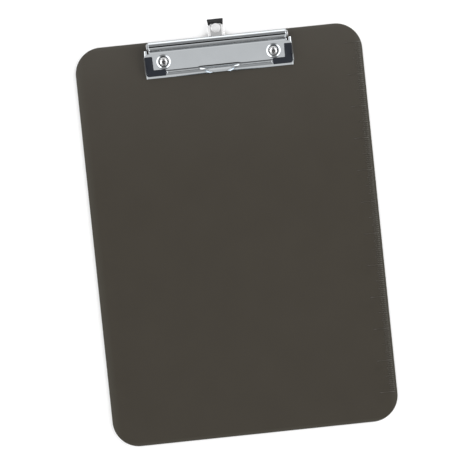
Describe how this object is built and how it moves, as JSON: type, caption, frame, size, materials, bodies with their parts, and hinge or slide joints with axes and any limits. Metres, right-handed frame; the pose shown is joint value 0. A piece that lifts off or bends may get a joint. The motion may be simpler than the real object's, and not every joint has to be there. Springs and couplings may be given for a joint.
{
  "type": "clipboard",
  "caption": "Letter-size smoke plastic clipboard with a low-profile rolled-edge spring clip, rubber corner grips and a pull-out hanging hook.",
  "frame": {"origin": "centre of the board's back face", "axes": "+Z out of the writing face, +Y towards the clip edge, +X to the right seen from the writing side"},
  "size_m": [0.228, 0.3311, 0.0134],
  "materials": {
    "smoke_plastic": "moulded smoke plastic, glossy",
    "base_steel": "zinc plated sheet",
    "rivet_nickel": "bright nickel plated",
    "rod_steel": "bright drawn rod",
    "spring_steel": "drawn spring wire",
    "jaw_nickel": "nickel plated, bright on the bends and satin on the flat",
    "pad_rubber": "matte blue-black rubber",
    "hook_nickel": "bright nickel plated"
  },
  "bodies": {
    "board_assembly": {"board": "smoke_plastic", "base_plate": "base_steel", "rivet_left": "rivet_nickel", "rivet_right": "rivet_nickel", "rivet_washer_left": "base_steel", "rivet_washer_right": "base_steel", "hinge_rod": "rod_steel", "torsion_spring": "spring_steel"},
    "jaw": {"jaw_plate": "jaw_nickel", "grip_pad_left": "pad_rubber", "grip_pad_right": "pad_rubber"},
    "hook": {"hanging_hook": "hook_nickel"}
  },
  "joints": [
    {"name": "jaw_hinge", "type": "hinge", "parent": "board_assembly", "child": "jaw", "pos_m": [0, 0.1543, 0.0094], "axis": [-1, 0, 0], "range_deg": [0, 80], "stiffness_Nm_per_rad": 0.15, "springref_deg": -91.67, "deforming": ["torsion_spring"]},
    {"name": "hook_slide", "type": "slide", "parent": "board_assembly", "child": "hook", "axis": [0, 1, 0], "range_m": [-0.011, 0]}
  ]
}
